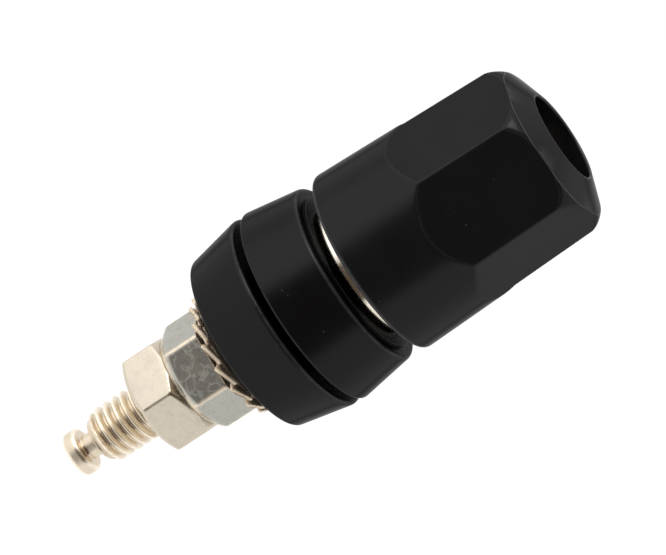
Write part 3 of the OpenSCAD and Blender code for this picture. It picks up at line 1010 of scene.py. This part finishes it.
def make_camera():
    """Camera that looks at the aim point from above the horizon and is rolled about its own axis."""
    back = math.cos(CAMERA_UP) * TOWARDS + math.sin(CAMERA_UP) * UP
    level = math.cos(CAMERA_UP) * UP - math.sin(CAMERA_UP) * TOWARDS
    right = math.cos(CAMERA_ROLL) * SIDE + math.sin(CAMERA_ROLL) * level
    up = math.cos(CAMERA_ROLL) * level - math.sin(CAMERA_ROLL) * SIDE
    place_at = AIM_SIDE * SIDE + AIM_HEIGHT * UP + CAMERA_FAR * back
    data = bpy.data.cameras.new("camera")
    data.sensor_fit = "HORIZONTAL"
    data.lens = FOCAL_PX / IMAGE_W * data.sensor_width
    data.clip_start = CAMERA_FAR / CLIP
    data.clip_end = CAMERA_FAR * CLIP
    camera = bpy.data.objects.new("camera", data)
    matrix = np.eye(4)
    matrix[:3, :4] = np.stack([right, up, back, place_at], axis=1)
    camera.matrix_world = Matrix(matrix)
    bpy.context.scene.collection.objects.link(camera)
    bpy.context.scene.camera = camera


# Stage and light

SHEET_DROP = 22 * MM
SHEET_FRONT = 55 * MM
SHEET_FAR = 500 * MM
SHEET_HALF = 75 * MM
FLOOR_GREY = (0.6, 0.6, 0.6, 1)
FLOOR_GLOW = 0.46
ROOM_GREY = (0.9, 0.9, 0.9, 1)
WHITE = (1, 1, 1, 1)
CARD_BROWN = (0.1, 0.08, 0.065, 1)
CARD_ROUGH = 0.9


def seen_white(tree):
    """1 for camera, glossy and transmission rays, which see the background as white."""
    path = tree.nodes.new("ShaderNodeLightPath")
    seen = math_node(tree, "MAXIMUM", path.outputs["Is Camera Ray"], path.outputs["Is Glossy Ray"])
    return math_node(tree, "MAXIMUM", seen, path.outputs["Is Transmission Ray"])


def plain_card(name, colour):
    """Matt material of one colour."""
    material, tree, shader = new_material(name)
    shader.inputs["Base Color"].default_value = colour
    shader.inputs["Roughness"].default_value = CARD_ROUGH
    shader.inputs["Specular IOR Level"].default_value = 0.0
    return material, tree, shader


def add_sheet(name, points, material):
    """A staged four-cornered sheet."""
    mesh = bpy.data.meshes.new(name)
    mesh.from_pydata(points, [], [[0, 1, 2, 3]])
    mesh.materials.append(material)
    sheet = bpy.data.objects.new(name, mesh)
    bpy.context.scene.collection.objects.link(sheet)
    return sheet


def make_floor():
    """Pale sheet under the part, white to the eye, that takes its shadow and is clear from below."""
    material, tree, shader = plain_card("pale_floor", FLOOR_GREY)
    shader.inputs["Emission Color"].default_value = WHITE
    glow = math_node(tree, "MULTIPLY", seen_white(tree), FLOOR_GLOW)
    tree.links.new(glow, shader.inputs["Emission Strength"])
    from_below = tree.nodes.new("ShaderNodeNewGeometry").outputs["Backfacing"]
    tree.links.new(math_node(tree, "SUBTRACT", 1.0, from_below), shader.inputs["Alpha"])
    near, far = SHEET_FRONT * TOWARDS, -SHEET_FAR * TOWARDS
    half = SHEET_HALF * SIDE
    corners = np.stack([near - half, near + half, far + half, far - half]) + (HEAD_BACK - SHEET_DROP) * UP
    add_sheet("pale_floor", corners, material)


def bearing(turn, rise):
    """Direction at an angle from the camera's side of the post, and above the level, in degrees."""
    turn, rise = math.radians(turn), math.radians(rise)
    level = math.cos(turn) * TOWARDS + math.sin(turn) * SIDE
    return math.cos(rise) * level + math.sin(rise) * UP


def facing(out, distance):
    """Matrix of a panel at a distance along a direction, turned to face the part."""
    across = np.cross(UP, out)
    across = across / np.linalg.norm(across)
    matrix = np.eye(4)
    matrix[:3, :4] = np.stack([across, np.cross(out, across), out, out * distance], axis=1)
    return matrix


def softbox(name, out, distance, wide, tall, radiance):
    """Area lamp that faces the part; its power is the radiance times pi times its area."""
    data = bpy.data.lights.new(name, "AREA")
    data.shape = "RECTANGLE"
    data.size = wide
    data.size_y = tall
    data.energy = radiance * math.pi * wide * tall
    lamp = bpy.data.objects.new(name, data)
    lamp.matrix_world = Matrix(facing(out, distance))
    bpy.context.scene.collection.objects.link(lamp)


def reflector(name, out, distance, wide, tall, colour):
    """Card that faces the part, shows only in its reflections and casts no shadow."""
    corners = np.array([[-1, -1, 0], [1, -1, 0], [1, 1, 0], [-1, 1, 0]]) * [wide / 2, tall / 2, 0]
    matrix = facing(out, distance)
    card = add_sheet(name, corners @ matrix[:3, :3].T + matrix[:3, 3], plain_card(name, colour)[0])
    card.visible_camera = False
    card.visible_diffuse = False
    card.visible_shadow = False


def make_world():
    """White to the eye and in reflections; a plain grey room for the rest."""
    world = bpy.data.worlds.new("studio")
    bpy.context.scene.world = world
    world.use_nodes = True
    tree = world.node_tree
    colour = mix_colour(tree, seen_white(tree), ROOM_GREY, WHITE)
    tree.links.new(colour, tree.nodes["Background"].inputs["Color"])


make_camera()
make_floor()
make_world()
softbox(
    "upper_softbox", bearing(turn=-66, rise=16),
    distance=260 * MM, wide=300 * MM, tall=480 * MM, radiance=0.55,
)
softbox(
    "corner_lamp", bearing(turn=-60, rise=50),
    distance=260 * MM, wide=110 * MM, tall=110 * MM, radiance=4.0,
)
reflector(
    "dark_card", bearing(turn=9, rise=27),
    distance=330 * MM, wide=660 * MM, tall=845 * MM, colour=CARD_BROWN,
)

bpy.context.scene.view_settings.view_transform = "Standard"
